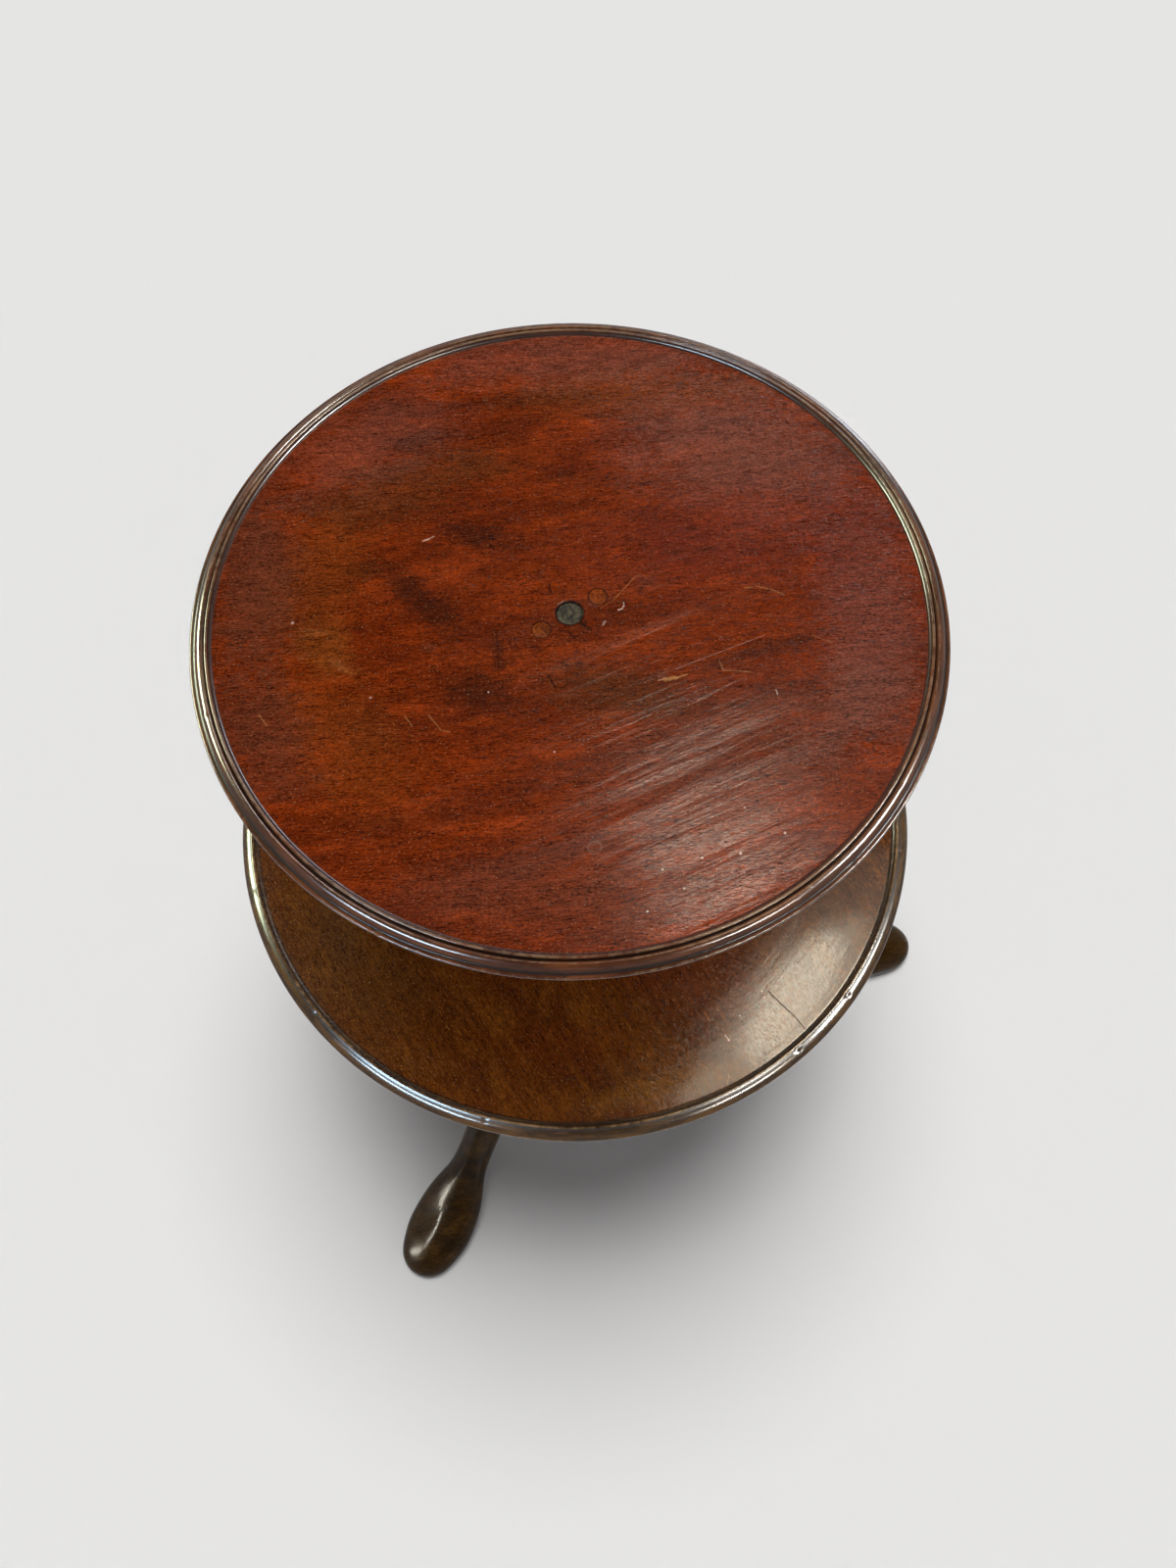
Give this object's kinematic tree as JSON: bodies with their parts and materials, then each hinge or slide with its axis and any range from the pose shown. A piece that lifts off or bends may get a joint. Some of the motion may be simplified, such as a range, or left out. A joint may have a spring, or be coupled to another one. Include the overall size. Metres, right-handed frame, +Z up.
{
  "type": "revolving dumbwaiter table",
  "caption": "Dumbwaiter table: round dished trays, one above the other, that turn on a turned column with a cabriole tripod base.",
  "frame": {"origin": "at floor level, under the middle of the table's outline in plan; the column's axis stands at x -45.053 mm, y 5.582 mm, because the right-hand leg reaches out further than the trays", "axes": "+Z up along the column, the axis of both trays; +X towards the right-hand leg, which stands 1.8 degrees round from it; -Y towards the front"},
  "size_m": [0.6758, 0.6708, 0.7818],
  "materials": {
    "upper_tray_mahogany": "worn french polish, red brown, fine straight grain",
    "lower_tray_mahogany": "worn french polish, olive brown with golden flecks",
    "turned_mahogany": "turned and polished, dark in the hollows",
    "leg_mahogany": "carved and polished, rubbed along the ridge",
    "pellet_wood": "end grain plugs with dark outlines",
    "washer_leather": "oiled and compressed",
    "wrought_iron": "forged, dark, rough",
    "screw_steel": "old hand-cut steel, dulled"
  },
  "bodies": {
    "stand": {"pedestal_column": "turned_mahogany", "upper_column": "turned_mahogany", "pivot_bolt": "wrought_iron", "upper_bearing_washer": "washer_leather", "lower_bearing_washer": "washer_leather", "leg_right": "leg_mahogany", "leg_back_left": "leg_mahogany", "leg_front_left": "leg_mahogany", "base_strap": "wrought_iron", "base_strap_screws": "screw_steel"},
    "lower_tray": {"lower_tray": "lower_tray_mahogany", "lower_tray_boss": "turned_mahogany", "lower_boss_screws": "screw_steel", "lower_screw_pellets": "pellet_wood"},
    "upper_tray": {"upper_tray": "upper_tray_mahogany", "upper_tray_boss": "turned_mahogany", "upper_boss_screws": "screw_steel", "upper_screw_pellets": "pellet_wood"}
  },
  "joints": [
    {"name": "lower_tray_turn", "type": "hinge", "parent": "stand", "child": "lower_tray", "pos_m": [-0.04505, 0.00558, 0.4425], "axis": [0, 0, 1], "continuous": true},
    {"name": "upper_tray_turn", "type": "hinge", "parent": "stand", "child": "upper_tray", "pos_m": [-0.04505, 0.00558, 0.7642], "axis": [0, 0, 1], "continuous": true}
  ]
}
